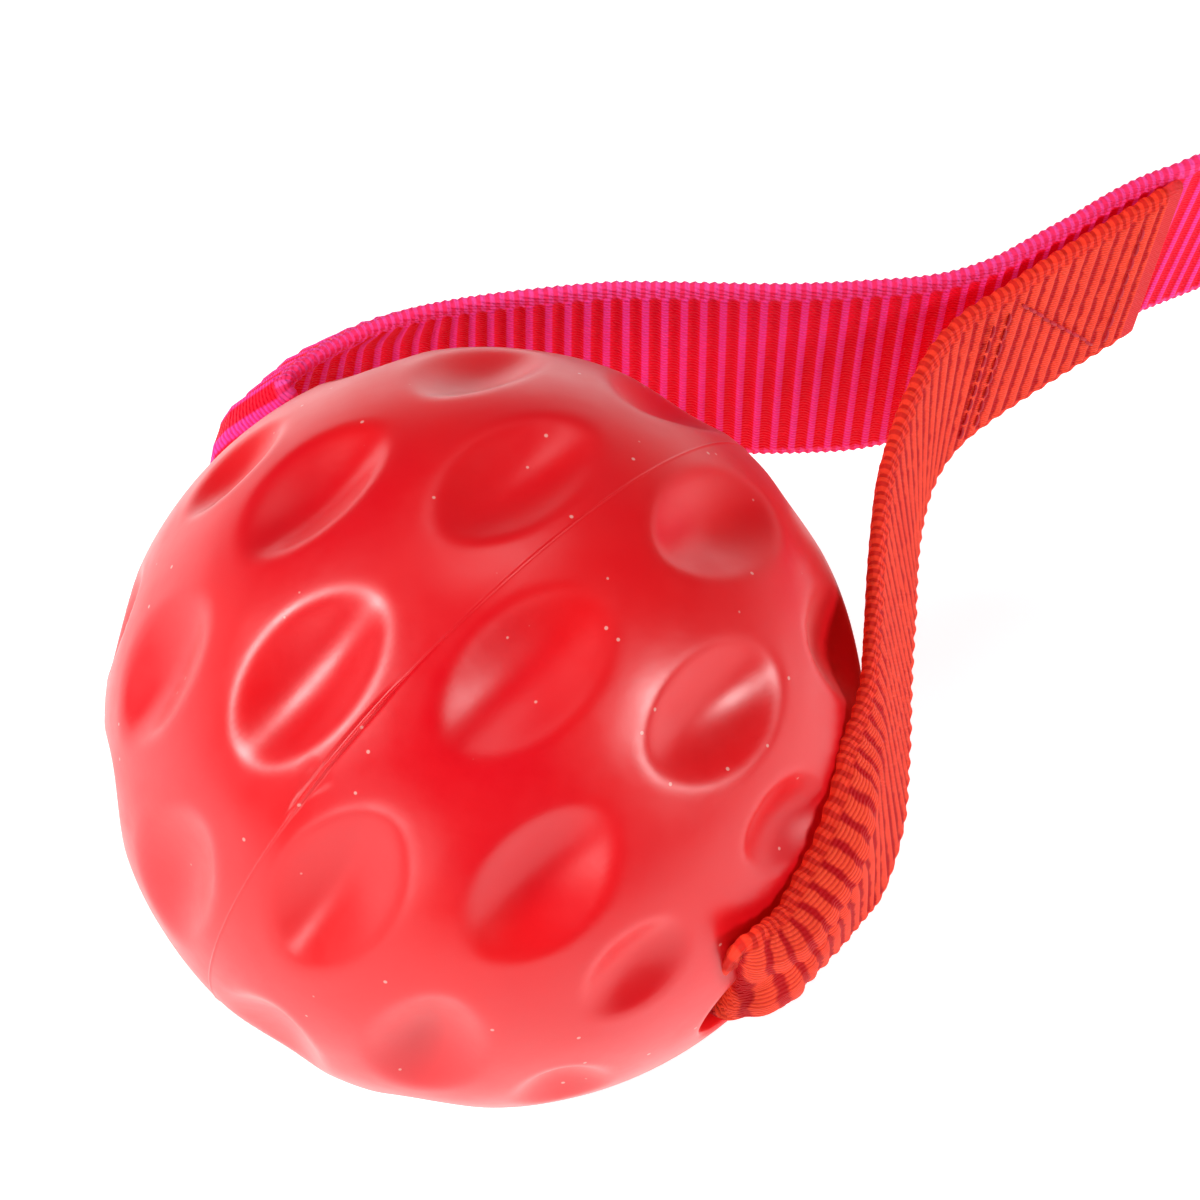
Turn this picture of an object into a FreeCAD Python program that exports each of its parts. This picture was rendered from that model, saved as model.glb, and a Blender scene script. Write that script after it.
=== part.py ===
import FreeCAD, Part

import math
import os

from FreeCAD import Rotation, Vector

# Dimpled rubber ball on a two-colour webbing strap with a hand loop.
# Millimetres, +Z up.  The origin is the point where the ball rests on the table.

# ---- driving dimensions ------------------------------------------------------------------
BALL_DIAMETER = 65.0
BORE_DIAMETER = 12.0
BORE_AZIMUTH = -44.4          # where the front mouth of the bore points, from +X
BORE_DIP = 8.0                # the front mouth points this much below level

WEB_WIDTH = 25.0
WEB_THICKNESS = 1.8
WEB_TO_BALL = 0.5             # air between the ball and the webbing that curls round it

FOLDED_WIDTH = 9.4            # webbing folded lengthwise to go through the bore
FOLDED_THICKNESS = 3.1
LAP_NEAR = -5.0               # the two webbings overlap inside the ball between these places
LAP_FAR = -20.0               # along the bore, counted from the middle towards the back mouth
FLARE_START = 32.4            # the folded webbing starts to open out here
FLARE_TURN = 9.0              # degrees round the ball from the bore to fully open webbing
HALF_OPEN_WIDTH = 17.0        # the webbing's section half way through opening out
HALF_OPEN_THICKNESS = 2.4
HALF_OPEN_OUT = 1.6           # how far that section stands off the ball
HALF_OPEN_SIDE = 2.4          # and how far it has gone to the side of the bore

# height of the webbing's middle over the ball's centre, by the distance in the seam's
# direction: level round the ball, then down onto the table
STRAP_HEIGHTS = [(45.0, 0.0), (83.0, -3.3), (165.0, -20.0)]
SHORT_STRAP_DROP = 0.8        # the short strap is sewn on this much lower than the long one

SEAM_ANGLE = 37.8             # direction of the sewn joint, from +X
SEAM_OFFSET = 2.9             # distance of the sewn face from the origin
SEAM_BEND = 51.6              # along the seam: where the short strap meets the long one
SHORT_STRAP_END = 77.3        # along the seam: the short strap's cut end
NECK = 81.1                   # along the seam: where the webbing flexes
NECK_GAP = 0.3                # air round the end of the long strap where it flexes

THREAD = 0.5
STITCH = 2.4
STITCH_PITCH = 3.0
STITCH_RAISED = 0.3           # how far a stitch stands off the webbing
LAP_ROW_HEIGHT = 2.5          # rows of stitches above and below the middle of the lap

# dimple rings: latitude from the parting line, dimples in the ring, first longitude,
# angle covered along the ring, angle covered across it, depth
DIMPLE_RINGS = [
    (11.7, 8, 55.3, 30.5, 17.5, 2.3),
    (34.9, 8, 77.8, 27.0, 17.5, 2.3),
    (56.9, 6, 68.8, 19.5, 14.5, 1.8),
    (-11.7, 8, 32.8, 30.5, 17.5, 2.3),
    (-34.9, 8, 55.3, 27.0, 17.5, 2.3),
    (-56.9, 6, 46.3, 19.5, 14.5, 1.8),
]

RADIUS = BALL_DIAMETER / 2
CENTRE = Vector(0, 0, RADIUS)
BEYOND = 300.0                # a length that reaches past the toy on every side
WRAP_RADIUS = RADIUS + WEB_TO_BALL + WEB_THICKNESS / 2
UP = Vector(0, 0, 1)


def heading(degrees):
    """Level unit vector at an angle from +X."""
    return Vector(math.cos(math.radians(degrees)), math.sin(math.radians(degrees)), 0)


dip = math.radians(BORE_DIP)
BORE = heading(BORE_AZIMUTH) * math.cos(dip) - UP * math.sin(dip)
BORE_SIDE = heading(BORE_AZIMUTH + 90)
BORE_UP = BORE.cross(BORE_SIDE)

SEAM = heading(SEAM_ANGLE)
SEAM_NORMAL = heading(SEAM_ANGLE + 90)


def on_seam(along, off):
    """Plan point at a distance along the seam, off to its left."""
    return SEAM * along + SEAM_NORMAL * off


SHORT_LAYER = SEAM_OFFSET - WEB_THICKNESS / 2
LONG_LAYER = SEAM_OFFSET + WEB_THICKNESS / 2
HINGE = on_seam(NECK, LONG_LAYER)


def wrap_point(degrees):
    """Plan point on the circle where webbing curls round the ball."""
    return heading(degrees) * WRAP_RADIUS


def strap_height(point):
    """Height of the webbing's middle over a plan point."""
    gone = point.dot(SEAM)
    height = STRAP_HEIGHTS[0][1]
    for (near, start), (far, end) in zip(STRAP_HEIGHTS, STRAP_HEIGHTS[1:]):
        share = min(max((gone - near) / (far - near), 0), 1)
        height += (end - start) * share
    return RADIUS + height


# ---- routes of the webbing, seen from above ----------------------------------------------
SHORT_START = BORE_AZIMUTH + FLARE_TURN
short_first = wrap_point(SHORT_START)
SHORT_ROUTE = [
    short_first,
    short_first + heading(SHORT_START + 90) * 7.0,
    Vector(34.2, -6.0, 0),
    Vector(34.8, 7.7, 0),
    Vector(36.5, 21.5, 0),
    on_seam(SEAM_BEND, SHORT_LAYER),
    on_seam(SHORT_STRAP_END, SHORT_LAYER),
]

LONG_START = BORE_AZIMUTH + 180 - FLARE_TURN
long_first = wrap_point(LONG_START)
LONG_ROUTE = [
    long_first,
    long_first + heading(LONG_START - 90) * 6.5,
    Vector(-6.1, 35.2, 0),
    Vector(5.0, 36.0, 0),
    Vector(17.0, 35.8, 0),
    Vector(29.0, 35.7, 0),
    on_seam(SEAM_BEND + 2.0, LONG_LAYER),
    HINGE,
]

# the hand loop, in a frame at the neck: along the seam and to its left
LOOP_POINTS = [
    (0.0, 0.0),
    (34.0, -2.6),
    (60.0, 3.0),
    (90.0, 5.0),
    (117.0, -2.0),
    (138.0, -17.0),
    (147.0, -36.0),
    (139.0, -53.0),
    (120.0, -59.0),
    (95.0, -52.0),
    (70.0, -35.5),
    (50.0, -18.0),
]
LOOP_SEWN_FROM = 32.0         # the webbing comes back against its own first run from here
LOOP_SEWN_TO = 9.0            # and is cut off here, both counted from the neck
LAYER_GAP = 0.1
outward = [HINGE + SEAM * along + SEAM_NORMAL * left for along, left in LOOP_POINTS]
first_run = Vector(outward[1] - outward[0]).normalize()
second_layer = UP.cross(first_run) * -(WEB_THICKNESS + LAYER_GAP)
HANDLE_ROUTE = outward + [
    HINGE + first_run * LOOP_SEWN_FROM + second_layer,
    HINGE + first_run * LOOP_SEWN_TO + second_layer,
]

# rows of stitches as (distance back from the cut end, height over the middle), start to end
SEAM_ROWS = [
    ((22.5, -9.5), (22.5, 9.5)),
    ((20.5, -9.5), (20.5, 9.5)),
    ((19.0, 9.5), (6.0, -8.5)),
    ((4.5, -9.5), (4.5, 9.5)),
]
LOOP_ROWS = [
    ((3.0, -9.5), (3.0, 9.5)),
    ((4.2, 9.5), (11.8, -8.5)),
    ((13.0, -9.5), (13.0, 9.5)),
]


# ---- shapes ------------------------------------------------------------------------------
def rounded_route(points):
    """Straight runs joined by tangent arcs, as a list of runs and arcs:
    (start, end, None) or (start, end, (centre, radius, turn))."""
    pieces = []
    start = points[0]
    for before, corner, after in zip(points, points[1:], points[2:]):
        run_in = corner - before
        run_out = after - corner
        way_in = Vector(run_in).normalize()
        way_out = Vector(run_out).normalize()
        turn = math.atan2(way_in.cross(way_out).z, way_in.dot(way_out))
        reach = 0.45 * min(run_in.Length, run_out.Length)
        radius = reach / math.tan(abs(turn) / 2)
        arc_start = corner - way_in * reach
        arc_end = corner + way_out * reach
        left = UP.cross(way_in)
        centre = arc_start + left * math.copysign(radius, turn)
        pieces.append((start, arc_start, None))
        pieces.append((arc_start, arc_end, (centre, radius, turn)))
        start = arc_end
    pieces.append((start, points[-1], None))
    return pieces


def offset_edges(pieces, offset):
    """Edges of the route moved to its left by offset."""
    edges = []
    for start, end, arc in pieces:
        if arc is None:
            side = UP.cross(Vector(end - start).normalize()) * offset
            edges.append(Part.LineSegment(start + side, end + side).toShape())
            continue
        centre, radius, turn = arc
        stretch = 1 - offset / math.copysign(radius, turn)
        middle = Rotation(UP, math.degrees(turn / 2)).multVec(start - centre)
        ends = [centre + (p - centre) * stretch for p in (start, centre + middle, end)]
        edges.append(Part.Arc(*ends).toShape())
    return edges


def ribbon_plan(points, thickness):
    """Face of a strip of that thickness along a plan route."""
    pieces = rounded_route(points)
    left = offset_edges(pieces, thickness / 2)
    right = offset_edges(pieces, -thickness / 2)
    caps = [
        Part.LineSegment(left[0].firstVertex(True).Point, right[0].firstVertex(True).Point).toShape(),
        Part.LineSegment(left[-1].lastVertex(True).Point, right[-1].lastVertex(True).Point).toShape(),
    ]
    wire = Part.Wire(Part.__sortEdges__(left + right + caps))
    return Part.Face(wire)


def height_band(drop=0.0):
    """The space between the webbing's two edges."""
    places = [-BEYOND] + [gone for gone, height in STRAP_HEIGHTS] + [BEYOND]
    middle = [SEAM * gone + UP * (strap_height(SEAM * gone) - drop) for gone in places]
    upper = [p + UP * (WEB_WIDTH / 2) - SEAM_NORMAL * BEYOND for p in middle]
    lower = [p - UP * (WEB_WIDTH / 2) - SEAM_NORMAL * BEYOND for p in middle]
    outline = upper + lower[::-1] + upper[:1]
    return Part.Face(Part.makePolygon(outline)).extrude(SEAM_NORMAL * (2 * BEYOND))


def webbing(plan, drop=0.0):
    """Webbing standing on its edge along a plan face, between its two edges."""
    return plan.extrude(UP * BEYOND).common(height_band(drop))


def quad(centre, across, width, along, thickness):
    """Rectangle round a centre: width along across, thickness along along."""
    corners = [(1, 1), (1, -1), (-1, -1), (-1, 1)]
    points = [centre + across * (a * width / 2) + along * (b * thickness / 2) for a, b in corners]
    return Part.makePolygon(points + points[:1])


def folded_bar(start, end, side):
    """Webbing folded lengthwise, straight along the bore between two places."""
    outline = quad(CENTRE + BORE * start + BORE_SIDE * side, BORE_UP, FOLDED_WIDTH,
                   BORE_SIDE, FOLDED_THICKNESS)
    return Part.Face(outline).extrude(BORE * (end - start))


def flare(sign, side, route, drop):
    """The webbing opening out from its folded width to full width as it turns round the ball."""
    way = BORE * sign
    level = heading(BORE_AZIMUTH) * sign
    folded = quad(CENTRE + way * FLARE_START + BORE_SIDE * side, BORE_UP, FOLDED_WIDTH,
                  BORE_SIDE, FOLDED_THICKNESS)
    first = route[0]
    out = Vector(first).normalize()
    middle = level * (RADIUS + HALF_OPEN_OUT) + BORE_SIDE * HALF_OPEN_SIDE
    slant = Vector(level - BORE_SIDE).normalize()
    height = strap_height(first) - drop
    height_mid = 0.5 * ((CENTRE + way * FLARE_START).z + height)
    half_open = quad(middle + UP * height_mid, UP, HALF_OPEN_WIDTH, slant * -1, HALF_OPEN_THICKNESS)
    opened = quad(first + UP * height, UP, WEB_WIDTH, out * -1, WEB_THICKNESS)
    return Part.makeLoft([folded, half_open, opened], True, True)


def dimple(latitude, longitude, along, across, depth):
    """Ellipsoid that cuts one dimple: long axis along the ring, round across it."""
    half_across = math.radians(across / 2)
    half_along = math.radians(along / 2)
    mouth = RADIUS * math.sin(half_across)
    sink = RADIUS - depth - RADIUS * math.cos(half_across)
    minor = -(mouth ** 2 + sink ** 2) / (2 * sink)
    from_centre = RADIUS - depth + minor
    reach = (from_centre - RADIUS * math.cos(half_along)) / minor
    major = RADIUS * math.sin(half_along) / math.sqrt(1 - reach ** 2)
    profile = Part.Arc(Part.Ellipse(Vector(0, 0, 0), major, minor), 0, math.pi).toShape()
    chord = Part.makeLine(Vector(-major, 0, 0), Vector(major, 0, 0))
    body = Part.Face(Part.Wire([profile, chord])).revolve(Vector(0, 0, 0), Vector(1, 0, 0), 360)
    lat, lon = math.radians(latitude), math.radians(longitude)
    spoke = BORE_SIDE * math.cos(lon) + BORE_UP * math.sin(lon)
    out = spoke * math.cos(lat) + BORE * math.sin(lat)
    tangent = BORE_UP * math.cos(lon) - BORE_SIDE * math.sin(lon)
    body.Placement = FreeCAD.Placement(CENTRE + out * from_centre,
                                       Rotation(tangent, out.cross(tangent), out, "XZY"))
    return body


# ---- sub-parts ---------------------------------------------------------------------------
def make_ball():
    """Solid moulded rubber with a straight bore and six rings of oval dimples."""
    ball = Part.makeSphere(RADIUS, Vector(0, 0, 0), BORE)
    ball.translate(CENTRE)
    bore = Part.makeCylinder(BORE_DIAMETER / 2, BALL_DIAMETER + 10,
                             CENTRE - BORE * (RADIUS + 5), BORE)
    cutters = [bore]
    for latitude, count, first, along, across, depth in DIMPLE_RINGS:
        for i in range(count):
            cutters.append(dimple(latitude, first + 360 / count * i, along, across, depth))
    return ball.cut(cutters)


def make_short_strap():
    """From the lap inside the ball, out of the front mouth and round to its sewn, cut end."""
    inner = folded_bar(LAP_FAR, FLARE_START, FOLDED_THICKNESS / 2)
    mouth = flare(1, FOLDED_THICKNESS / 2, SHORT_ROUTE, SHORT_STRAP_DROP)
    arm = webbing(ribbon_plan(SHORT_ROUTE, WEB_THICKNESS), SHORT_STRAP_DROP)
    return inner.fuse([mouth, arm]).removeSplitter()


def make_long_strap():
    """From the lap out of the back mouth and behind the ball to the neck, with a round end."""
    inner = folded_bar(-FLARE_START, LAP_NEAR, -FOLDED_THICKNESS / 2)
    mouth = flare(-1, -FOLDED_THICKNESS / 2, LONG_ROUTE, 0.0)
    plan = ribbon_plan(LONG_ROUTE, WEB_THICKNESS)
    end = Part.Face(Part.Wire(Part.makeCircle(WEB_THICKNESS / 2, HINGE)))
    return inner.fuse([mouth, webbing(plan.fuse(end).removeSplitter())]).removeSplitter()


def make_handle_strap():
    """The hand loop: out from the neck, round, and back to be sewn on itself."""
    plan = ribbon_plan(HANDLE_ROUTE, WEB_THICKNESS)
    socket = Part.Face(Part.Wire(Part.makeCircle(WEB_THICKNESS / 2 + NECK_GAP, HINGE)))
    return webbing(plan.cut(socket))


def walk_back(route, distance):
    """Plan point and direction on a rounded route, a distance back from its end."""
    for start, end, arc in reversed(rounded_route(route)):
        length = (end - start).Length if arc is None else arc[1] * abs(arc[2])
        if distance > length:
            distance -= length
            continue
        if arc is None:
            way = Vector(end - start).normalize()
            return end - way * distance, way
        centre, radius, turn = arc
        swing = Rotation(UP, -math.degrees(math.copysign(distance / radius, turn)))
        spoke = swing.multVec(end - centre)
        return centre + spoke, Vector(UP.cross(spoke) * math.copysign(1, turn)).normalize()
    raise ValueError("the route is shorter than that")


def stitch(middle, way, normal):
    """One stitch lying on a face."""
    along = Vector(way).normalize()
    outline = quad(middle, normal.cross(along), THREAD, along, STITCH)
    return Part.Face(outline).extrude(normal * STITCH_RAISED)


def stitches_on(route, rows, side, drop, past_end=0.0):
    """Rows of stitches on one face of webbing: side +1 is its left face, -1 its right face."""
    bars = []
    for (back_a, up_a), (back_b, up_b) in rows:
        count = int(math.hypot(back_b - back_a, up_b - up_a) / STITCH_PITCH)
        for i in range(count):
            share = (i + 0.5) / count
            back = back_a + (back_b - back_a) * share + past_end
            plan, way = walk_back(route, back)
            normal = UP.cross(way) * side
            middle = plan + normal * (WEB_THICKNESS / 2)
            height = strap_height(middle) - drop + up_a + (up_b - up_a) * share
            slant = way * (back_a - back_b) + UP * (up_b - up_a)
            bars.append(stitch(middle + UP * height, slant, normal))
    return bars


def make_seam_stitching():
    """Two cross rows, a diagonal and an end row, on both faces of the sewn joint."""
    near = stitches_on(SHORT_ROUTE, SEAM_ROWS, -1, SHORT_STRAP_DROP)
    far = stitches_on(LONG_ROUTE, SEAM_ROWS, 1, SHORT_STRAP_DROP, NECK - SHORT_STRAP_END)
    return Part.makeCompound(near + far)


def make_handle_stitching():
    """The same kind of pattern where the hand loop is closed."""
    near = stitches_on(HANDLE_ROUTE, LOOP_ROWS, 1, 0.0)
    way_out = HANDLE_ROUTE[1::-1]
    far = stitches_on(way_out, LOOP_ROWS, -1, 0.0, LOOP_SEWN_TO)
    return Part.makeCompound(near + far)


def make_lap_stitching():
    """Short bars of thread through the lap inside the ball, seen on its two outer faces."""
    bars = []
    for sign in (1, -1):
        face = BORE_SIDE * (sign * FOLDED_THICKNESS)
        for up in (-LAP_ROW_HEIGHT, LAP_ROW_HEIGHT):
            for i in range(int((LAP_NEAR - LAP_FAR) / STITCH_PITCH)):
                middle = CENTRE + BORE * (LAP_FAR + STITCH_PITCH * (i + 0.5)) + face
                bars.append(stitch(middle + BORE_UP * up, BORE, BORE_SIDE * sign))
    return Part.makeCompound(bars)


PARTS = {
    "ball": make_ball,
    "short_strap": make_short_strap,
    "long_strap": make_long_strap,
    "handle_strap": make_handle_strap,
    "seam_stitching": make_seam_stitching,
    "handle_stitching": make_handle_stitching,
    "lap_stitching": make_lap_stitching,
}


def print_route(name, points):
    """The route's length and radii, and the strip's volume against section times length."""
    pieces = rounded_route(points)
    radii = [arc[1] for start, end, arc in pieces if arc]
    length = sum(arc[1] * abs(arc[2]) if arc else (end - start).Length for start, end, arc in pieces)
    strip = webbing(ribbon_plan(points, WEB_THICKNESS)).Volume
    share = strip / (length * WEB_WIDTH * WEB_THICKNESS)
    print(f"{name}: {length:.0f} mm, volume {share:.3f} of section times length, radii",
          " ".join(f"{radius:.0f}" for radius in radii))


print_route("short strap route", SHORT_ROUTE)
print_route("long strap route", LONG_ROUTE)
print_route("handle route", HANDLE_ROUTE)
os.makedirs("parts", exist_ok=True)
for name, make in PARTS.items():
    shape = make()
    shape.exportStep(f"parts/{name}.step")
    print(f"{name}: {len(shape.Solids)} solids, {shape.Volume / 1000:.2f} cm3, valid {shape.isValid()}")
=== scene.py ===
"""Dimpled rubber ball on a two-colour webbing strap with a hand loop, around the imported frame."""
import math

import bpy
import numpy as np
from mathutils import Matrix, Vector


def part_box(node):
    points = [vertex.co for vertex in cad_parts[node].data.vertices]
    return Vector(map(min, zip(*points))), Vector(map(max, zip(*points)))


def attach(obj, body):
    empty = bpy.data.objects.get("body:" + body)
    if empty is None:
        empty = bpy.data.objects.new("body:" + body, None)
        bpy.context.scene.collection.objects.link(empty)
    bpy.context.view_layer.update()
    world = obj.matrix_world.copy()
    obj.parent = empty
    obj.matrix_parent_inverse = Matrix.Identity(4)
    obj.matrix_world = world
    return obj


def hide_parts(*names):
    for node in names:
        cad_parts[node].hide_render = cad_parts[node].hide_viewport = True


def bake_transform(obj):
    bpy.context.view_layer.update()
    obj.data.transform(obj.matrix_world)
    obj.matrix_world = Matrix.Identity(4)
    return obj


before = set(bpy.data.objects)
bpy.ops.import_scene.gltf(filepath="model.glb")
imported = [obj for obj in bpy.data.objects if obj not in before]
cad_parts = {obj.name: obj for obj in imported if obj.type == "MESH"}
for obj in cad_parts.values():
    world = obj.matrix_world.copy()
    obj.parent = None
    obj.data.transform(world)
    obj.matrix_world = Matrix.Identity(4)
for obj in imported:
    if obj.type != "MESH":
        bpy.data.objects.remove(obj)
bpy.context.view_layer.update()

# Lengths below are millimetres from the ball's centre; to_world() turns them into metres.
MM = 0.001
BALL_LOW, BALL_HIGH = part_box("ball")
CENTRE = np.array((BALL_LOW + BALL_HIGH) / 2) / MM
RADIUS = 32.5
BORE_RADIUS = 6.0
BORE_AZIMUTH = -44.4
BORE_DIP = 8.0
UP = np.array([0.0, 0.0, 1.0])

WEB_WIDTH = 25.0
WEB_THICKNESS = 1.8
WEB_CORE = 0.56         # half thickness between the ribs
CUT_END = 1.5           # length of the short strap melted at its cut end
RIB_PITCH = 1.7
EASE = 0.8              # how far along the strap its sections and directions are smoothed
# height of the webbing's middle, by the distance in the seam's direction
STRAP_HEIGHTS = [(-300.0, 0.0), (45.0, 0.0), (83.0, -3.3), (165.0, -19.9), (400.0, -19.9)]
SHORT_STRAP_DROP = 0.8
SEAM_ANGLE = 37.8
SEAM_OFFSET = 2.9
NECK = 81.1


def to_world(points):
    """Metres in the frame's own axes."""
    return (np.asarray(points, float) + CENTRE) * MM


def heading(degrees):
    """Level unit vector at an angle from +X."""
    return np.array([math.cos(math.radians(degrees)), math.sin(math.radians(degrees)), 0.0])


def unit(v):
    """The same directions with length one."""
    return v / np.linalg.norm(v, axis=-1, keepdims=True)


DIP = math.radians(BORE_DIP)
BORE = heading(BORE_AZIMUTH) * math.cos(DIP) - UP * math.sin(DIP)
BORE_SIDE = heading(BORE_AZIMUTH + 90)
BORE_UP = np.cross(BORE, BORE_SIDE)
SEAM = heading(SEAM_ANGLE)
SEAM_NORMAL = heading(SEAM_ANGLE + 90)


def on_seam(along, off):
    """Plan point at a distance along the seam, off to its left."""
    return SEAM * along + SEAM_NORMAL * off


def smooth_step(x):
    """0 below 0, 1 above 1, smooth between."""
    x = np.clip(x, 0, 1)
    return x * x * (3 - 2 * x)


# ---- routes of the webbing -----------------------------------------------------------------
LONG_LAYER = SEAM_OFFSET + WEB_THICKNESS / 2
HINGE = on_seam(NECK, LONG_LAYER)

SHORT_ROUTE = [
    (31.7, -13.9),
    (33.9, -7.0),
    (34.5, 2.2),
    (34.9, 10.5),
    (35.8, 19.5),
    (37.4, 27.3),
    (40.2, 33.9),
    on_seam(59.0, 3.1),
    on_seam(68.0, 3.3),
    on_seam(78.4, 3.2),
]
LONG_ROUTE = [
    (-6.0, 35.4),
    (5.0, 36.3),
    (16.0, 36.3),
    (26.0, 36.0),
    (35.5, 36.9),
    on_seam(57.5, 5.0),
    on_seam(66.0, 5.1),
    on_seam(75.5, 5.1),
    HINGE,
]
LOOP_POINTS = [
    (34.0, -2.6),
    (60.0, 3.0),
    (90.0, 5.0),
    (117.0, -2.0),
    (138.0, -17.0),
    (147.0, -36.0),
    (139.0, -53.0),
    (120.0, -59.0),
    (95.0, -52.0),
    (70.0, -35.5),
    (50.0, -18.0),
]
LOOP_SEWN_FROM = 32.0
LOOP_SEWN_TO = 9.0
LAYER_GAP = 0.1
outward = [HINGE + SEAM * along + SEAM_NORMAL * left for along, left in LOOP_POINTS]
first_run = unit(outward[0] - HINGE)
second_layer = np.cross(UP, first_run) * -(WEB_THICKNESS + LAYER_GAP)
HANDLE_ROUTE = outward + [
    HINGE + first_run * LOOP_SEWN_FROM + second_layer,
    HINGE + first_run * LOOP_SEWN_TO + second_layer,
]
SHORT_INSIDE = [(8.0, 0.0), (22.0, 0.0), (34.5, 0.0)]     # along the bore, and off to its side
LONG_INSIDE = [(8.0, 0.0), (20.0, 0.0), (29.5, 1.8)]
LONG_TURN = [(-21.5, 25.6, 3.6), (-15.2, 31.2, 1.0)]      # the turn just past the back mouth


def strap_point(plan, drop=0.0):
    """The webbing's middle over a plan point."""
    places, heights = np.array(STRAP_HEIGHTS).T
    gone = plan[0] * SEAM[0] + plan[1] * SEAM[1]
    return np.array([plan[0], plan[1], np.interp(gone, places, heights) - drop])


def spline_points(name, points):
    """Points along the smooth line that has these control points, evenly and closely spaced."""
    curve = bpy.data.curves.new(name, "CURVE")
    curve.dimensions = "3D"
    curve.resolution_u = 40
    spline = curve.splines.new("NURBS")
    spline.points.add(len(points) - 1)
    for place, point in zip(spline.points, points):
        place.co = (*point, 1.0)
    spline.order_u = 3
    spline.use_endpoint_u = True
    holder = bpy.data.objects.new(name, curve)
    bpy.context.scene.collection.objects.link(holder)
    bpy.context.view_layer.update()
    line = bpy.data.meshes.new_from_object(holder)
    found = np.array([v.co for v in line.vertices], float)
    bpy.data.objects.remove(holder)
    bpy.data.meshes.remove(line)
    bpy.data.curves.remove(curve)
    return found


def even_points(points, step):
    """The same line at even steps, and the distance of each point from its start."""
    gone = np.concatenate([[0], np.cumsum(np.linalg.norm(np.diff(points, axis=0), axis=1))])
    count = int(round(gone[-1] / step)) + 1
    along = np.linspace(0, gone[-1], count)
    return np.stack([np.interp(along, gone, points[:, k]) for k in range(3)], 1), along


def blur(values, width):
    """Smoothed along the first axis, by a bell of that many samples."""
    reach = int(3 * width)
    bell = np.exp(-0.5 * (np.arange(-reach, reach + 1) / width) ** 2)
    padded = np.pad(values, [(reach, reach)] + [(0, 0)] * (values.ndim - 1), mode="edge")
    columns = padded.reshape(len(padded), -1).T
    done = [np.convolve(c, bell / bell.sum(), mode="valid") for c in columns]
    return np.array(done).T.reshape(values.shape)


# ---- meshes --------------------------------------------------------------------------------
def grid_object(name, points, wrap_rows, wrap_columns, values, material):
    """A smooth mesh over a grid of points, with one float attribute for each entry of values."""
    rows, columns = points.shape[:2]
    index = np.arange(rows * columns).reshape(rows, columns)
    down = np.roll(index, -1, 0) if wrap_rows else index[1:]
    here = index if wrap_rows else index[:-1]
    if not wrap_columns:
        here, down = here[:, :-1], down[:, :-1]
        right = index[:, 1:] if wrap_rows else index[:-1, 1:]
        across = (np.roll(index, -1, 0) if wrap_rows else index[1:])[:, 1:]
    else:
        right, across = np.roll(here, -1, 1), np.roll(down, -1, 1)
    faces = np.stack([here, right, across, down], -1).reshape(-1, 4).tolist()
    if wrap_columns and not wrap_rows:
        faces.append(index[0, ::-1].tolist())
        faces.append(index[-1].tolist())
    mesh = bpy.data.meshes.new(name)
    mesh.from_pydata(to_world(points.reshape(-1, 3)).tolist(), [], faces)
    mesh.shade_smooth()
    for key, value in values.items():
        layer = mesh.attributes.new(key, "FLOAT", "POINT")
        layer.data.foreach_set("value", np.ascontiguousarray(value, np.float32).ravel())
    mesh.materials.append(material)
    piece = bpy.data.objects.new(name, mesh)
    bpy.context.scene.collection.objects.link(piece)
    return piece


def across_samples():
    """Places across the webbing from edge to edge, closest together at the selvedges."""
    middle = np.linspace(-10.6, 10.6, 13)
    edge = np.array([10.95, 11.3, 11.65, 11.95, 12.2, 12.38, 12.5])
    return np.concatenate([-edge[::-1], middle, edge])


def interpolate(stations, along):
    """A table of (distance, values...) read smoothly at every place along."""
    table = np.array(stations, float)
    columns = [np.interp(along, table[:, 0], table[:, k]) for k in range(1, table.shape[1])]
    step = along[1] - along[0]
    return blur(np.stack(columns, 1), EASE / step).T


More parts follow.
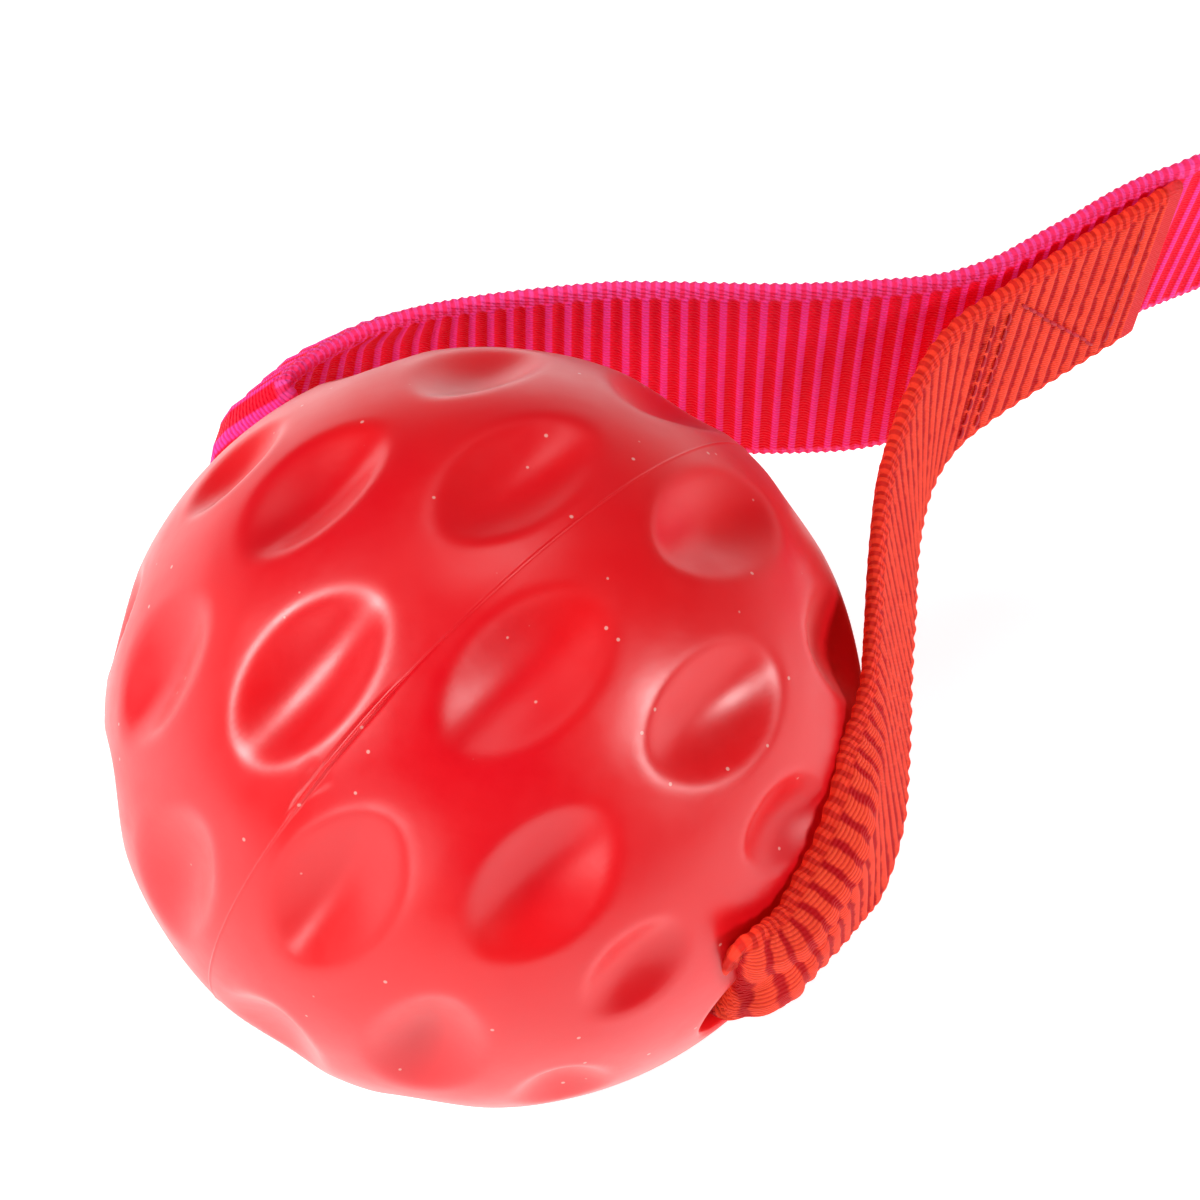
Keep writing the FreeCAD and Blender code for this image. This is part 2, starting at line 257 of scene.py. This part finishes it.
def webbing(name, control_points, stations, look, material, melted, step):
    """Flat woven strap swept along a spline.  stations hold, against the distance past the ball's
    mouth: the tilts of four strips across the strap in degrees from upright, from its lower edge
    to its upper edge, the three folds between them, and how far the strap moves outward and up."""
    line, along = even_points(spline_points(name, control_points), step)
    way = unit(blur(unit(np.gradient(line, axis=0)), EASE / step))
    rise = unit(UP - way * (way @ UP)[:, None])
    side = np.cross(way, rise)
    past_mouth = along - along[np.argmax(np.linalg.norm(line, axis=1) > RADIUS)]
    sections = interpolate(stations, past_mouth)[:, :, None]
    low, pocket, mid, top, fold_a, fold_b, fold_c, out, lift = sections
    u = across_samples()
    fine = np.linspace(-WEB_WIDTH / 2, WEB_WIDTH / 2, 201)
    tilt = low
    for before, after, fold in ((low, pocket, fold_a), (pocket, mid, fold_b), (mid, top, fold_c)):
        tilt = tilt + (after - before) * (0.5 + 0.5 * np.tanh(fine - fold))
    tilt = np.radians(tilt)
    width = fine[1] - fine[0]
    x = np.cumsum(np.sin(tilt), 1) * width
    y = np.cumsum(np.cos(tilt), 1) * width
    x -= x.mean(1, keepdims=True)
    y -= y.mean(1, keepdims=True)
    place = (u - fine[0]) / width
    left = np.floor(place).astype(int).clip(0, len(fine) - 2)
    share = place - left
    x = x[:, left] * (1 - share) + x[:, left + 1] * share + out
    y = y[:, left] * (1 - share) + y[:, left + 1] * share + lift
    middle = line[:, None] + side[:, None] * x[..., None] + rise[:, None] * y[..., None]
    face = unit(np.cross(np.gradient(middle, axis=1), np.gradient(middle, axis=0)))
    front, behind, edge_out = look(along[:, None], u[None, :])
    if melted:
        fused = smooth_step((along[-1] - along - melted) / 0.5)[:, None]
        front, behind = (WEB_CORE + (half - WEB_CORE) * fused for half in (front, behind))
    rounding = np.sqrt(np.clip(1 - (np.clip(np.abs(u) - 11.6, 0, None) / 0.9) ** 2, 0, 1))
    sideways = unit(np.gradient(middle, axis=1)) * (np.sign(u) * edge_out)[..., None]
    outer = middle + sideways + face * (front * rounding)[..., None]
    inner = middle + sideways - face * (behind * rounding)[..., None]
    points = np.concatenate([outer, inner[:, -2:0:-1]], 1)
    ring_u = np.concatenate([u, u[-2:0:-1]])
    ones = np.ones(len(points))[:, None]
    faces = np.concatenate([np.ones(len(u)), -np.ones(len(u) - 2)])
    round_ring = np.ones(len(ring_u))[None]
    values = {
        "along": along[:, None] * round_ring,
        "across": ones * ring_u[None],
        "face": ones * faces[None],
        "to_end": (along[-1] - along)[:, None] * round_ring,
    }
    return grid_object(name, points, False, True, values, material), line, way, rise, side


def ribs(along, u, sharp, height):
    """Height of crosswise ribs on one face, fading at the selvedges."""
    wave = 0.5 + 0.5 * np.cos(2 * math.pi * along / RIB_PITCH)
    fade = 1 - smooth_step((np.abs(u) - 10.9) / 0.6)
    return height * wave ** sharp * fade


def selvedge(along, u, lobes):
    """Swelling of the edge rows: a bead along the edge, and a row of loops beside it."""
    beat = 0.5 + 0.5 * np.cos(2 * math.pi * along * lobes / RIB_PITCH)
    bead = np.exp(-((np.abs(u) - 12.1) / 0.35) ** 2)
    loops = np.exp(-((np.abs(u) - 11.25) / 0.3) ** 2)
    return 0.13 * bead * beat + 0.16 * loops * (1 - beat) ** 0.7


def pink_look(along, u):
    """Half thicknesses of the pink webbing, front and back, and its scalloped edge."""
    front = WEB_CORE + ribs(along, u, 1.6, 0.30) + selvedge(along, u, 2)
    behind = WEB_CORE + ribs(along + RIB_PITCH / 2, u, 1.6, 0.30) + selvedge(along, u, 2)
    edge = 0.10 * np.cos(4 * math.pi * along / RIB_PITCH) * (np.abs(u) > 11.8)
    return front, behind, edge


def orange_look(along, u):
    """The same for the orange webbing, whose ribs are broad and close together."""
    front = WEB_CORE + ribs(along, u, 0.55, 0.26) + selvedge(along, u, 1)
    behind = WEB_CORE + ribs(along + RIB_PITCH / 2, u, 0.55, 0.26) + selvedge(along, u, 1)
    edge = 0.10 * np.cos(2 * math.pi * along / RIB_PITCH) * (np.abs(u) > 11.8)
    return front, behind, edge


# ---- materials -----------------------------------------------------------------------------
class Nodes:
    """Short names for building a material's nodes."""

    def __init__(self, name):
        self.material = bpy.data.materials.new(name)
        self.material.use_nodes = True
        self.tree = self.material.node_tree
        self.shader = self.tree.nodes["Principled BSDF"]

    def add(self, kind, **settings):
        node = self.tree.nodes.new(kind)
        for key, value in settings.items():
            setattr(node, key, value)
        return node

    def put(self, value, socket):
        if isinstance(value, bpy.types.NodeSocket):
            self.tree.links.new(value, socket)
        elif hasattr(socket.default_value, "__len__") and not hasattr(value, "__len__"):
            socket.default_value = (value,) * 3
        else:
            socket.default_value = value

    def math(self, operation, *inputs):
        node = self.add("ShaderNodeMath", operation=operation)
        for socket, value in zip(node.inputs, inputs):
            self.put(value, socket)
        return node.outputs[0]

    def attribute(self, name):
        return self.add("ShaderNodeAttribute", attribute_name=name).outputs["Fac"]

    def position(self):
        return self.add("ShaderNodeTexCoord").outputs["Object"]

    def noise(self, vector, scale, detail=2.0, rough=0.5, distortion=0.0):
        node = self.add("ShaderNodeTexNoise")
        self.put(vector, node.inputs["Vector"])
        node.inputs["Scale"].default_value = scale
        node.inputs["Detail"].default_value = detail
        node.inputs["Roughness"].default_value = rough
        node.inputs["Distortion"].default_value = distortion
        return node.outputs["Fac"]

    def ramp(self, value, low, high, to_low=0.0, to_high=1.0, smooth=True):
        node = self.add("ShaderNodeMapRange")
        node.interpolation_type = "SMOOTHSTEP" if smooth else "LINEAR"
        self.put(value, node.inputs["Value"])
        for socket, number in zip(("From Min", "From Max", "To Min", "To Max"),
                                  (low, high, to_low, to_high)):
            node.inputs[socket].default_value = number
        return node.outputs["Result"]

    def mix(self, share, a, b):
        node = self.add("ShaderNodeMix", data_type="RGBA")
        self.put(share, node.inputs["Factor"])
        for value, socket in ((a, node.inputs[6]), (b, node.inputs[7])):
            if isinstance(value, bpy.types.NodeSocket):
                self.tree.links.new(value, socket)
            else:
                socket.default_value = (*value, 1.0)
        return node.outputs[2]

    def combine(self, x, y, z=0.0):
        node = self.add("ShaderNodeCombineXYZ")
        for value, socket in zip((x, y, z), node.inputs):
            self.put(value, socket)
        return node.outputs[0]

    def bump(self, height, distance, strength=1.0, under=None):
        node = self.add("ShaderNodeBump")
        node.inputs["Distance"].default_value = distance
        node.inputs["Strength"].default_value = strength
        self.put(height, node.inputs["Height"])
        if under is not None:
            self.put(under, node.inputs["Normal"])
        return node.outputs["Normal"]

    def set(self, **values):
        for key, value in values.items():
            socket = self.shader.inputs[key.replace("_", " ")]
            if isinstance(value, bpy.types.NodeSocket):
                self.tree.links.new(value, socket)
            elif hasattr(value, "__len__") and len(value) == 3 and len(socket.default_value) == 4:
                socket.default_value = (*value, 1.0)
            else:
                socket.default_value = value


def rubber_material():
    """Red moulded rubber: satin, faintly clouded, with dust and lint on it, and a painted pale sheen
    where it is seen edge-on.
    """
    n = Nodes("ball_rubber_satin")
    place = n.position()
    cloud = n.noise(place, 45.0, 3.0)
    fine = n.noise(place, 700.0, 3.0, 0.6)
    colour = n.mix(n.ramp(cloud, 0.35, 0.65), (0.84, 0.001, 0.009), (0.90, 0.006, 0.010))
    specks = n.add("ShaderNodeTexVoronoi")
    n.put(place, specks.inputs["Vector"])
    specks.inputs["Scale"].default_value = 420.0
    speck = n.ramp(specks.outputs["Distance"], 0.05, 0.085, 1.0, 0.0)
    chosen = n.math("GREATER_THAN", specks.outputs["Color"], 0.50)
    dust = n.math("MULTIPLY", speck, chosen)
    colour = n.mix(n.math("MULTIPLY", dust, 0.6), colour, (0.95, 0.60, 0.52))
    # painted reflection: the colour turns pale pink where the surface is seen at a grazing angle,
    # standing in for the white surroundings mirrored there
    grazing_weight = n.add("ShaderNodeLayerWeight")
    grazing_weight.inputs["Blend"].default_value = 0.3
    painted_grazing_sheen = n.ramp(grazing_weight.outputs["Facing"], 0.42, 1.0, 0.0, 0.6)
    colour = n.mix(painted_grazing_sheen, colour, (0.95, 0.25, 0.24))
    rough = n.ramp(n.noise(place, 120.0, 4.0, 0.6), 0.3, 0.7, 0.30, 0.40)
    normal = n.bump(fine, 0.00003, 0.4)
    n.set(Base_Color=colour, Roughness=rough, Normal=normal, IOR=1.56,
          Subsurface_Weight=0.12, Subsurface_Scale=0.002, Subsurface_Radius=(1.0, 0.15, 0.1),
          Sheen_Weight=0.03, Sheen_Roughness=0.5, Sheen_Tint=(1.0, 0.8, 0.78))
    return n.material


def webbing_material(name, rib, groove, edge, end, rib_share, offset):
    """Woven nylon: rib and groove colours by the place along, yarns by the place across. The darker
    groove colour is the yarn's own tone plus painted shade in the grooves between the ribs and between
    the selvedge loops.
    """
    n = Nodes(name)
    along, across, face = n.attribute("along"), n.attribute("across"), n.attribute("face")
    wobble = n.math("MULTIPLY_ADD", n.noise(n.combine(along, across), 0.55, 2.0), 0.8, -0.4)
    back = n.math("MULTIPLY", n.math("LESS_THAN", face, 0.0), RIB_PITCH / 2)
    shifted = n.math("ADD", n.math("ADD", along, back), wobble if offset else 0.0)
    phase = n.math("FRACT", n.math("DIVIDE", shifted, RIB_PITCH))
    from_rib = n.math("ABSOLUTE", n.math("SUBTRACT", n.math("FRACT", n.math("ADD", phase, 0.5)), 0.5))
    on_rib = n.ramp(from_rib, rib_share * 0.36, rib_share * 0.64, 1.0, 0.0)
    yarn_phase = n.math("MULTIPLY", across, 2 * math.pi / 0.40)
    slant = n.math("MULTIPLY", along, 2 * math.pi / RIB_PITCH)
    yarn = n.math("MULTIPLY_ADD", n.math("SINE", n.math("ADD", yarn_phase, slant)), 0.5, 0.5)
    edge_share = n.ramp(n.math("ABSOLUTE", across), 10.9, 11.5)
    dotted = n.math("MULTIPLY", on_rib, n.ramp(yarn, 0.05, 0.55, 0.45, 1.0))
    # painted shade: the grooves between the ribs take the darker groove colour, which stands partly for
    # shade there
    colour = n.mix(dotted, groove, rib)
    loop = n.math("SINE", n.math("MULTIPLY", along, 4 * math.pi / RIB_PITCH))
    # painted shade: the gaps between the selvedge loops take the darker groove colour
    knots = n.mix(n.ramp(loop, -0.6, 0.6, 0.35, 1.0), groove, edge)
    colour = n.mix(edge_share, colour, knots)
    variation = n.noise(n.combine(along, across), 0.12, 3.0)
    colour = n.mix(n.ramp(variation, 0.3, 0.7, 0.0, 0.22), colour, groove)
    if end is not None:
        melted = n.ramp(n.attribute("to_end"), CUT_END - 0.1, CUT_END + 0.4, 1.0, 0.0)
        colour = n.mix(melted, colour, end)
    lay = n.math("SINE", n.math("MULTIPLY", n.math("ADD", along, n.math("MULTIPLY", across, 0.6)), 16.0))
    normal = n.bump(yarn, 0.00012, 0.9)
    normal = n.bump(lay, 0.00003, 0.6, normal)
    # painted glow: the webbing emits a little of its own colour, standing in for the extra brightness of
    # its fluorescent dye
    n.set(Base_Color=colour, Roughness=0.7, Normal=normal, IOR=1.35, Sheen_Weight=0.12,
          Sheen_Roughness=0.4, Sheen_Tint=(*edge,), Subsurface_Weight=0.15,
          Subsurface_Scale=0.0008, Subsurface_Radius=(1.0, 0.3, 0.3),
          Specular_IOR_Level=0.3, Emission_Color=colour, Emission_Strength=0.17)
    return n.material


def thread_material():
    """Twisted sewing thread."""
    n = Nodes("twisted_thread")
    place = n.position()
    strand = n.math("SINE", n.math("MULTIPLY", n.noise(place, 900.0, 1.0), 30.0))
    colour = n.mix(n.ramp(n.noise(place, 400.0), 0.3, 0.7), (0.52, 0.004, 0.018), (0.66, 0.010, 0.032))
    n.set(Base_Color=colour, Roughness=0.7, Normal=n.bump(strand, 0.00004, 0.6))
    return n.material


def floor_material():
    """Matte white paper with the faintest grain, lit from below as on a light table."""
    n = Nodes("studio_paper")
    grain = n.noise(n.position(), 300.0, 2.0)
    n.set(Base_Color=n.mix(grain, (0.80, 0.80, 0.80), (0.82, 0.82, 0.82)), Roughness=0.9,
          Emission_Color=(1.0, 1.0, 1.0), Emission_Strength=0.70)
    return n.material


# ---- ball ----------------------------------------------------------------------------------
# latitude from the parting line, dimples in the ring, first longitude, angle covered along the
# ring, angle covered across it, depth
DIMPLE_RINGS = [
    (11.7, 8, 55.3, 30.5, 17.5, 2.3),
    (34.9, 8, 77.8, 27.0, 17.5, 2.3),
    (56.9, 6, 68.8, 19.5, 14.5, 1.8),
    (-11.7, 8, 32.8, 30.5, 17.5, 2.3),
    (-34.9, 8, 55.3, 27.0, 17.5, 2.3),
    (-56.9, 6, 46.3, 19.5, 14.5, 1.8),
]
SOFT_RIM = 0.20
LIP = 0.02
CREASE = 0.45       # how far the dimples' two long walls meet in a crease
VALLEY = 0.55       # and how round that crease is
THICK_FROM = 112    # longitudes between which the parting line is thick, and that of the gate
THICK_TO = 136
GATE = 134.5


def ball_direction(latitude, longitude):
    """Unit vector at a latitude from the parting line and a longitude round the bore."""
    lat, lon = np.radians(latitude), np.radians(longitude)
    spoke = BORE_SIDE * np.cos(lon)[..., None] + BORE_UP * np.sin(lon)[..., None]
    return spoke * np.cos(lat)[..., None] + BORE * np.sin(lat)[..., None]


def dimple_relief(direction, latitude, longitude, along, across, depth):
    """How far one oval dimple sinks the surface, with its soft rim and a faint raised lip."""
    out = ball_direction(np.array(latitude), np.array(longitude))
    east = unit(np.cross(BORE, out))
    north = np.cross(out, east)
    x = direction @ east / math.sin(math.radians(along / 2))
    y = direction @ north / math.sin(math.radians(across / 2))
    valley = (np.sqrt(y * y + VALLEY ** 2) - VALLEY) / (math.sqrt(1 + VALLEY ** 2) - VALLEY)
    spread = x * x + CREASE * valley + (1 - CREASE) * y * y
    near = direction @ out > 0
    level = 1 - spread
    sink = 0.5 * (level + np.sqrt(level ** 2 + SOFT_RIM ** 2))
    sink *= 1 - smooth_step((np.sqrt(spread) - 1.25) / 0.4)
    lip = LIP * np.exp(-((np.sqrt(spread) - 1.12) / 0.14) ** 2)
    return np.where(near, lip - depth * sink, 0.0)


def parting_line(latitude, longitude):
    """Flash along the parting line, thick beside the gate, and the gate's torn patch."""
    off = np.radians(latitude) * RADIUS
    turn = longitude % 360
    thick = smooth_step((turn - THICK_FROM) / 8) * (1 - smooth_step((turn - THICK_TO) / 5))
    height = 0.07 + 0.20 * thick
    flash = height * np.exp(-(off / (0.10 + 0.05 * thick)) ** 2)
    groove = -0.10 * thick * np.exp(-((off + 0.32) / 0.12) ** 2)
    gate = np.radians(turn - GATE) * RADIUS
    reach = 1.5 * np.clip((2.3 - gate) / 4.0, 0, 1)
    patch = (np.abs(gate) < 2.2) * smooth_step((reach - np.abs(off + 0.3)) / 0.3)
    return flash + groove - 0.07 * patch


def ball_surface(material):
    """The whole skin, in latitude rings from one mouth to the other and back through the bore."""
    columns = 440
    mouth = 90 - math.degrees(math.asin((BORE_RADIUS + 0.5) / RADIUS))
    fine = np.array([0.05, 0.15, 0.26, 0.38, 0.52, 0.7, 0.95, 1.3, 1.75])
    side = np.concatenate([fine, np.linspace(2.3, mouth, 78)])
    latitude = np.concatenate([-side[::-1], [0.0], side])
    longitude = np.linspace(0, 360, columns, endpoint=False)
    lat, lon = np.meshgrid(latitude, longitude, indexing="ij")
    direction = ball_direction(lat, lon)
    radius = np.full(lat.shape, RADIUS) + parting_line(lat, lon)
    for ring, count, first, along, across, depth in DIMPLE_RINGS:
        for i in range(count):
            at = first + 360 / count * i
            radius += dimple_relief(direction, ring, at, along, across, depth)
    skin = direction * radius[..., None]
    spoke = ball_direction(np.zeros(columns), longitude)
    half = RADIUS * math.sin(math.radians(mouth))
    rows = []
    for turn in np.linspace(15, 90, 5):
        inward = 0.5 * (1 - math.sin(math.radians(turn)))
        depth = 0.5 * (1 - math.cos(math.radians(turn)))
        rows.append(spoke * (BORE_RADIUS + inward) + BORE * (half - depth))
    for depth in np.linspace(half - 2, 0, 8):
        rows.append(spoke * BORE_RADIUS + BORE * depth)
    there = np.array(rows)
    back = np.array([r - 2 * BORE * (r @ BORE)[:, None] for r in rows[-2::-1]])
    points = np.concatenate([skin, there, back])[:, ::-1]
    return grid_object("moulded_ball", points, True, True, {}, material)


# ---- stitches ------------------------------------------------------------------------------
def stitch_bar(middle, along, normal, length, radius):
    """One stitch: a thread that rises out of the webbing, bows over it and goes back in."""
    sides, rings = 8, 9
    share = np.linspace(-1, 1, rings)
    across = np.cross(normal, along)
    ends = np.sqrt(np.clip(1 - share ** 4, 0.02, 1))
    spine = (middle + along * (share * length / 2)[:, None]
             + normal * ((0.75 * radius) * (1 - share ** 2) - 0.25 * radius)[:, None])
    angle = np.linspace(0, 2 * math.pi, sides, endpoint=False)
    ring = (across * np.cos(angle)[:, None] + normal * np.sin(angle)[:, None]) * radius
    return spine[:, None] + ring[None] * ends[:, None, None]


def stitch_object(name, bars, material):
    """All stitches of one group in one mesh."""
    points, faces = [], []
    for bar in bars:
        rings, sides = bar.shape[:2]
        base = len(points)
        points += bar.reshape(-1, 3).tolist()
        for i in range(rings - 1):
            for j in range(sides):
                k = (j + 1) % sides
                faces.append([base + i * sides + j, base + i * sides + k,
                              base + (i + 1) * sides + k, base + (i + 1) * sides + j])
        faces.append([base + j for j in range(sides)][::-1])
        faces.append([base + (rings - 1) * sides + j for j in range(sides)])
    mesh = bpy.data.meshes.new(name)
    mesh.from_pydata(to_world(points).tolist(), [], faces)
    mesh.shade_smooth()
    mesh.materials.append(material)
    piece = bpy.data.objects.new(name, mesh)
    bpy.context.scene.collection.objects.link(piece)
    return piece


SEAM_ROWS = [
    ((22.5, -9.5), (22.5, 9.5)),
    ((20.5, -9.5), (20.5, 9.5)),
    ((19.0, 9.5), (6.0, -8.5)),
    ((4.5, -9.5), (4.5, 9.5)),
]
LOOP_ROWS = [
    ((3.0, -9.5), (3.0, 9.5)),
    ((4.2, 9.5), (11.8, -8.5)),
    ((13.0, -9.5), (13.0, 9.5)),
]
STITCH_PITCH = 2.2
THREAD_RADIUS = 0.17


def stitch_rows(rows, line, way, rise, side, lean, sign):
    """Stitches in rows on one face of a strap: sign +1 is its right side, -1 its left.  A row runs
    between two places, each given as the distance back from the strap's end and the height."""
    gone = np.concatenate([[0], np.cumsum(np.linalg.norm(np.diff(line, axis=0), axis=1))])
    tilt = math.radians(lean)
    bars = []
    for (back_a, up_a), (back_b, up_b) in rows:
        count = int(math.hypot(back_b - back_a, up_b - up_a) / STITCH_PITCH)
        for i in range(count):
            share = (i + 0.5) / count
            at = gone[-1] - (back_a + (back_b - back_a) * share)
            k = int(np.searchsorted(gone, at))
            up = rise[k] * math.cos(tilt) + side[k] * math.sin(tilt)
            normal = (side[k] * math.cos(tilt) - rise[k] * math.sin(tilt)) * sign
            height = up_a + (up_b - up_a) * share
            middle = line[k] + up * height + normal * (WEB_THICKNESS / 2 + 0.02)
            slant = unit(way[k] * (back_a - back_b) + up * (up_b - up_a))
            bars.append(stitch_bar(middle, slant, normal, 0.9 * STITCH_PITCH, THREAD_RADIUS))
    return bars


# ---- building ------------------------------------------------------------------------------
# each row: distance past the mouth; tilts of the four strips, lower edge first; the folds between them;
# how far the strap moves outward and up
ORANGE_STATIONS = [
    (-40, 80, 80, -80, 80, -5.0, -4.0, 4.0, 0.0, 0.0),
    (-2.5, 80, 80, -80, 80, -5.0, -4.0, 4.0, 0.0, 0.0),
    (-1, 30, -50, 30, -15, 0.0, 3.0, 8.0, 3.0, 3.0),
    (2, 20, -40, 40, -40, 0.0, 3.0, 8.0, 0.5, 2.0),
    (5, 10, -30, 40, -60, 0.0, 3.0, 8.0, 0.0, 1.0),
    (10, 5, -5, 25, -60, 0.0, 4.0, 8.0, 0.0, 0.0),
    (17, -5, -5, -5, -35, 0.0, 5.0, 8.0, -0.5, 0.0),
    (24, -8, -8, -8, -15, 0.0, 5.0, 8.0, 0.0, 0.0),
    (32, -9, -9, -9, -9, 0.0, 5.0, 8.0, 0.0, 0.0),
    (44, -8, -8, -8, -8, 0.0, 5.0, 8.0, 0.0, 0.0),
    (66, 4, 4, 4, 4, 0.0, 5.0, 8.0, 0.0, 0.0),
    (120, 4, 4, 4, 4, 0.0, 5.0, 8.0, 0.0, 0.0),
]
PINK_STATIONS = [
    (-40, -120, -120, 0, 120, -5.0, -3.5, 3.5, 0.0, 0.0),
    (-5, -120, -120, 0, 120, -5.0, -3.5, 3.5, 0.0, 0.0),
    (-1, -50, -50, 8, 50, -5.0, -4.0, 4.0, -0.4, -0.4),
    (2, -8, -8, 6, 30, -6.0, -5.0, 5.0, -1.3, -1.2),
    (6, 0, 0, 4, 34, -6.0, -5.0, 6.0, -1.9, -0.2),
    (12, 2, 2, 2, 28, -6.0, -5.0, 6.0, -1.7, 0.5),
    (22, 0, 0, 0, 10, -6.0, -3.0, 6.0, -0.5, 0.1),
    (36, -3.8, -3.8, -3.8, -3.8, -6.0, -3.0, 4.0, 0.0, 0.0),
    (58, -3.5, -3.5, -3.5, -3.5, -6.0, -3.0, 4.0, 0.0, 0.0),
    (70, 2, 2, 2, 2, -6.0, -3.0, 4.0, 0.0, 0.0),
    (78, 4, 4, 4, 4, -6.0, -3.0, 4.0, 0.0, 0.0),
    (94, 4, 4, 4, 4, -6.0, -3.0, 4.0, 0.0, 0.0),
    (125, 0, 0, 0, 0, -6.0, -3.0, 4.0, 0.0, 0.0),
    (500, 0, 0, 0, 0, -6.0, -3.0, 4.0, 0.0, 0.0),
]
SEAM_LEAN = 4.0

rubber = rubber_material()
# the second colour of each webbing is its groove colour, darker partly as painted shade in the grooves
pink = webbing_material("pink_woven_nylon", (1.0, 0.055, 0.42), (0.90, 0.0, 0.022),
                        (1.0, 0.080, 0.38), None, 0.36, False)
orange = webbing_material("orange_woven_nylon", (1.0, 0.075, 0.028), (0.50, 0.0, 0.004),
                          (1.0, 0.050, 0.020), (0.72, 0.030, 0.034), 0.64, True)
thread = thread_material()

short_controls = [BORE * d + BORE_SIDE * off for d, off in SHORT_INSIDE]
short_controls += [strap_point(p, SHORT_STRAP_DROP) for p in SHORT_ROUTE]
long_controls = [-BORE * d + BORE_SIDE * off for d, off in LONG_INSIDE]
long_controls += [np.array(p) for p in LONG_TURN]
long_controls += [strap_point(p) for p in LONG_ROUTE + HANDLE_ROUTE]

ball = ball_surface(rubber)
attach(ball, "ball")
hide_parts("ball")

orange_strap, *orange_line = webbing("orange_webbing_strap", short_controls, ORANGE_STATIONS,
                                     orange_look, orange, CUT_END, 0.19)
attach(orange_strap, "strap")
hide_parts("short_strap")

pink_strap, *pink_line = webbing("pink_webbing_strap", long_controls, PINK_STATIONS,
                                 pink_look, pink, 0.0, 0.243)
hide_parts("long_strap", "handle_strap")

seam_bars = stitch_rows(SEAM_ROWS, *orange_line, SEAM_LEAN, 1)
seam_stitches = stitch_object("seam_thread", seam_bars, thread)
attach(seam_stitches, "strap")
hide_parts("seam_stitching")

loop_bars = stitch_rows(LOOP_ROWS, *pink_line, 0.0, -1)
loop_stitches = stitch_object("hand_loop_thread", loop_bars, thread)
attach(loop_stitches, "handle")
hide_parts("handle_stitching")

lap_bars = [stitch_bar(-BORE * d + BORE_SIDE * s * 3.1, BORE, BORE_SIDE * s, 2.0, 0.26)
            for s in (1, -1) for d in np.arange(6, 19, 2.4)]
lap_stitches = stitch_object("lap_thread", lap_bars, thread)
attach(lap_stitches, "strap")
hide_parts("lap_stitching")

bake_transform(pink_strap)


# ---- studio --------------------------------------------------------------------------------
# name, direction from the ball, width, height, power
SOFT_BOXES = [
    ("left_box", (-0.76, -0.10, 0.63), 0.22, 0.30, 6.2),
    ("right_box", (0.80, -0.23, 0.50), 0.22, 0.30, 4.2),
    ("front_box", (-0.46, -0.83, 0.30), 0.14, 0.22, 1.5),
    ("top_box", (0.05, 0.42, 0.90), 0.42, 0.34, 1.2),
]
BOX_DISTANCE = 0.9


def studio():
    """White floor, surroundings that are bright at the horizon and dim above, soft boxes."""
    bpy.ops.mesh.primitive_plane_add(size=6.0, location=(0, 0, 0))
    floor = bpy.context.object
    floor.name = "floor"
    floor.data.materials.append(floor_material())
    world = bpy.data.worlds.new("white_studio")
    world.use_nodes = True
    tree = world.node_tree
    background = tree.nodes["Background"]
    where = tree.nodes.new("ShaderNodeTexCoord")
    split = tree.nodes.new("ShaderNodeSeparateXYZ")
    height = tree.nodes.new("ShaderNodeMapRange")
    height.inputs["From Min"].default_value = 0.05
    height.inputs["From Max"].default_value = 0.75
    height.inputs["To Min"].default_value = 1.05
    height.inputs["To Max"].default_value = 0.22
    depth = tree.nodes.new("ShaderNodeMapRange")
    depth.inputs["From Min"].default_value = -1.0
    depth.inputs["To Min"].default_value = 0.7
    depth.inputs["To Max"].default_value = 1.35
    strength = tree.nodes.new("ShaderNodeMath")
    strength.operation = "MULTIPLY"
    tree.links.new(where.outputs["Generated"], split.inputs[0])
    tree.links.new(split.outputs["Y"], depth.inputs["Value"])
    tree.links.new(split.outputs["Z"], height.inputs["Value"])
    tree.links.new(height.outputs["Result"], strength.inputs[0])
    tree.links.new(depth.outputs["Result"], strength.inputs[1])
    tree.links.new(strength.outputs[0], background.inputs["Strength"])
    bpy.context.scene.world = world
    middle = Vector(to_world((0, 0, 0)))
    for name, direction, wide, tall, power in SOFT_BOXES:
        light = bpy.data.lights.new(name, "AREA")
        light.shape = "RECTANGLE"
        light.size = wide
        light.size_y = tall
        light.energy = power
        lamp = bpy.data.objects.new(name, light)
        lamp.location = middle + Vector(direction).normalized() * BOX_DISTANCE
        lamp.rotation_euler = (middle - lamp.location).to_track_quat("-Z", "Y").to_euler()
        bpy.context.scene.collection.objects.link(lamp)


def camera():
    """Looks down at 60 degrees from in front."""
    view = bpy.data.cameras.new("camera")
    view.lens = 166.48
    view.sensor_width = 36.0
    eye = bpy.data.objects.new("camera", view)
    right = np.array([1, 0, 0])
    up = np.array([0, 0.8660254, 0.5])
    toward = np.array([0, -0.5, 0.8660254])
    eye.location = to_world(9.81 * right + 10.86 * up + 474.7 * toward)
    eye.rotation_euler = (math.radians(30), 0, 0)
    bpy.context.scene.collection.objects.link(eye)
    bpy.context.scene.camera = eye


studio()
camera()
bpy.context.scene.view_settings.view_transform = "Standard"
